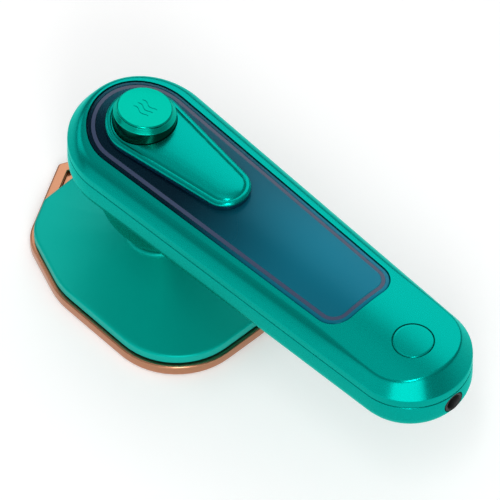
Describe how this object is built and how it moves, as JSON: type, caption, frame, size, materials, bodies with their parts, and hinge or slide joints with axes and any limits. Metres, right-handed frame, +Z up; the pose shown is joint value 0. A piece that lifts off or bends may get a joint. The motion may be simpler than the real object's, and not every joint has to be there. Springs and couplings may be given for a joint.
{
  "type": "garment steamer",
  "caption": "Compact garment steamer: tapered handle with a tinted water tank, steam button and power button, on a copper-coloured soleplate head that swivels.",
  "frame": {"origin": "point on the ironing face of the soleplate, on the axis that the handle swivels about", "axes": "+X from the head towards the handle's tail, +Z up through the handle, +Y to the left; the tip of the soleplate points to -X"},
  "size_m": [0.2173, 0.0926, 0.0838],
  "materials": {
    "shell_green": "satin moulded ABS with a metallic lustre",
    "button_green": "gloss moulded ABS",
    "smoked_blue": "clear moulded plastic, smoked dark blue",
    "tank_blue": "dark blue moulded plastic",
    "copper_coating": "cast aluminium with a copper-coloured ceramic coating",
    "die_cast_alloy": "die cast, bare",
    "plated_steel": "zinc plated",
    "brass": "drawn",
    "black_plastic": "moulded, heat resistant",
    "black_rubber": "moulded",
    "silicone": "extruded, translucent",
    "white_nylon": "moulded",
    "circuit_board": "solder mask",
    "heater_ceramic": "fired ceramic",
    "led_lens": "clear red lens"
  },
  "bodies": {
    "head": {"soleplate": "copper_coating", "heat_shield": "black_plastic", "steam_chamber": "die_cast_alloy", "ptc_heater": "heater_ceramic", "heater_clamp": "plated_steel", "thermostat": "die_cast_alloy", "thermal_fuse": "brass", "head_cover": "shell_green", "swivel_spindle": "black_plastic", "spindle_retainer": "black_plastic", "feed_pipe": "brass", "clamp_screw_left": "plated_steel", "clamp_screw_right": "plated_steel", "sole_screw_front_left": "plated_steel", "sole_screw_front_right": "plated_steel", "sole_screw_rear_left": "plated_steel", "sole_screw_rear_right": "plated_steel"},
    "handle": {"button_panel": "shell_green", "control_board": "circuit_board", "cord_gland": "black_rubber", "delivery_hose": "silicone", "filler_neck": "tank_blue", "friction_washer": "plated_steel", "lower_shell": "shell_green", "pilot_light": "led_lens", "pump_barrel": "white_nylon", "pump_cap": "white_nylon", "shell_screw_front_left": "plated_steel", "shell_screw_front_right": "plated_steel", "shell_screw_rear_left": "plated_steel", "shell_screw_rear_right": "plated_steel", "suction_hose": "silicone", "swivel_seal": "black_rubber", "tact_switch": "black_plastic", "tank_tray": "tank_blue", "tank_window": "smoked_blue", "upper_shell": "shell_green", "valve_ball": "plated_steel"},
    "steam_button": {"steam_button": "button_green", "pump_piston": "white_nylon", "pump_spring": "plated_steel"},
    "power_button": {"power_button": "button_green", "switch_plunger": "white_nylon"},
    "filler_plug": {"filler_plug": "black_rubber"}
  },
  "joints": [
    {"name": "handle_swivel", "type": "hinge", "parent": "head", "child": "handle", "pos_m": [0, 0, 0.0144], "axis": [0, 0, 1], "range_deg": [-90, 90]},
    {"name": "steam_button_press", "type": "slide", "parent": "handle", "child": "steam_button", "axis": [0, 0, -1], "range_m": [0, 0.003], "stiffness_N_per_m": 900, "springref_m": -0.001, "deforming": ["pump_spring"]},
    {"name": "power_button_press", "type": "slide", "parent": "handle", "child": "power_button", "axis": [0, 0, -1], "range_m": [0, 0.0006], "stiffness_N_per_m": 1500, "springref_m": -0.0003},
    {"name": "filler_plug_pull", "type": "slide", "parent": "handle", "child": "filler_plug", "axis": [0, 0, -1], "range_m": [0, 0.012]}
  ]
}
